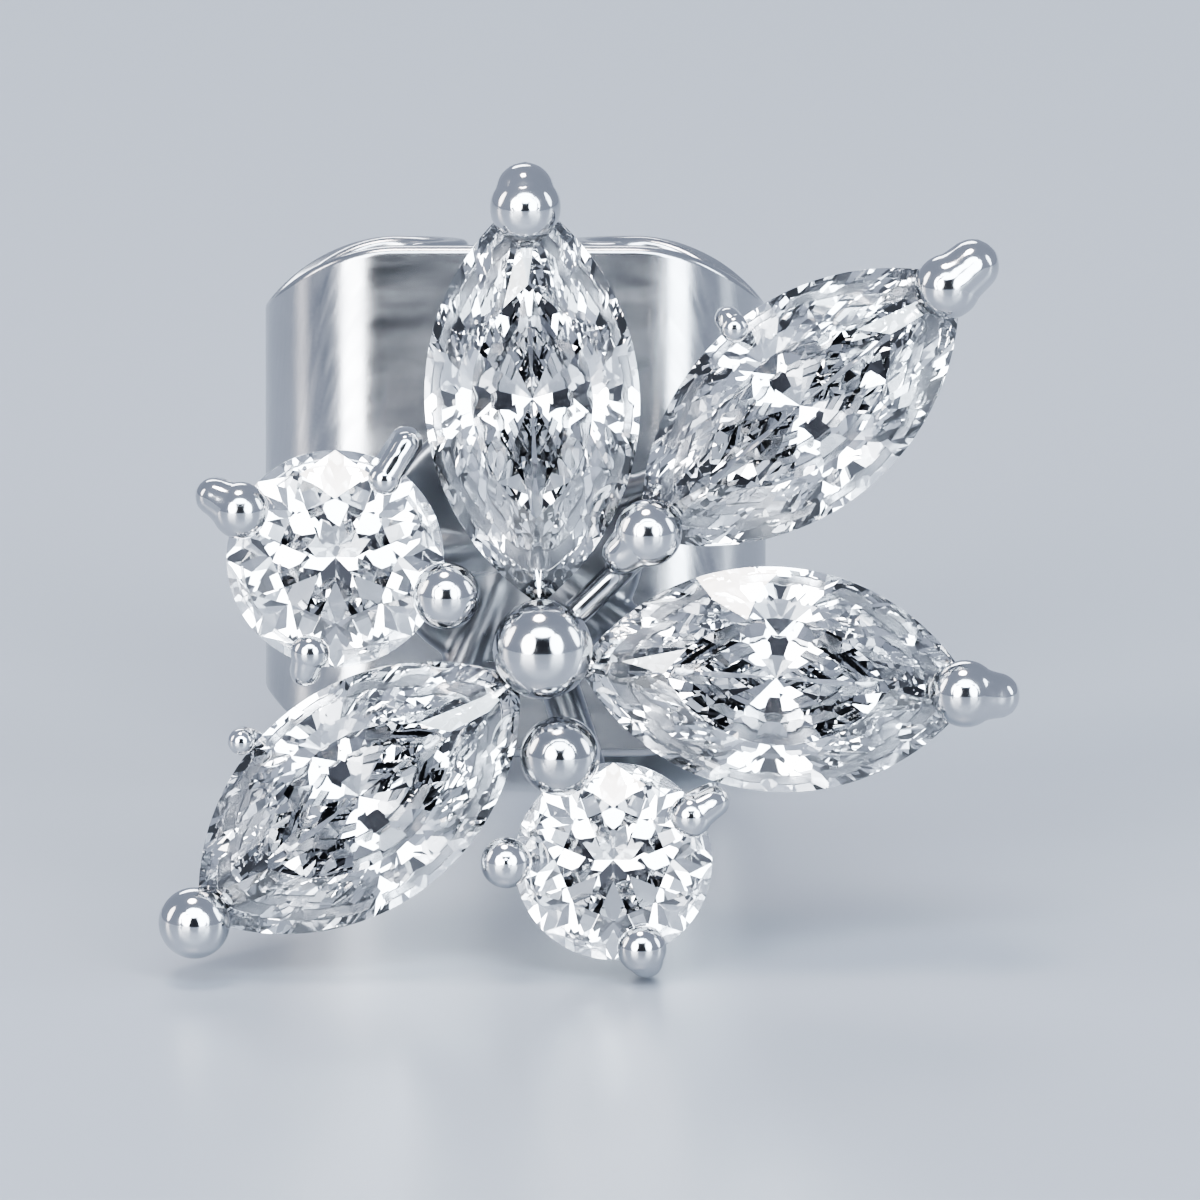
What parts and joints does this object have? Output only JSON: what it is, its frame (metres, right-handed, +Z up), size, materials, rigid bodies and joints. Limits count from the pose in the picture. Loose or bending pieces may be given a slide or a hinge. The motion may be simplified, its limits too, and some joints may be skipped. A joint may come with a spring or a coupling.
{
  "type": "cluster stud earring",
  "caption": "Stud earring with a flower-like cluster of marquise and round brilliants in open prong baskets, on a straight post with a butterfly clutch.",
  "frame": {"origin": "on the surface that the earring rests on, under the middle of its bounding box", "axes": "+Z up, the face looks towards -Y and leans back by 9 degrees, and the post runs towards +Y and slopes down to its clutch"},
  "size_m": [0.0084, 0.0126, 0.008],
  "materials": {
    "white_metal": "polished white gold",
    "clutch_metal": "polished white gold, softer than the setting",
    "clear_stone": "brilliant cut, clear and colourless"
  },
  "bodies": {
    "root": {"setting": "white_metal", "clutch": "clutch_metal", "marquise_top": "clear_stone", "marquise_upper_right": "clear_stone", "marquise_right": "clear_stone", "marquise_lower_left": "clear_stone", "round_left": "clear_stone", "round_bottom": "clear_stone"}
  },
  "joints": []
}
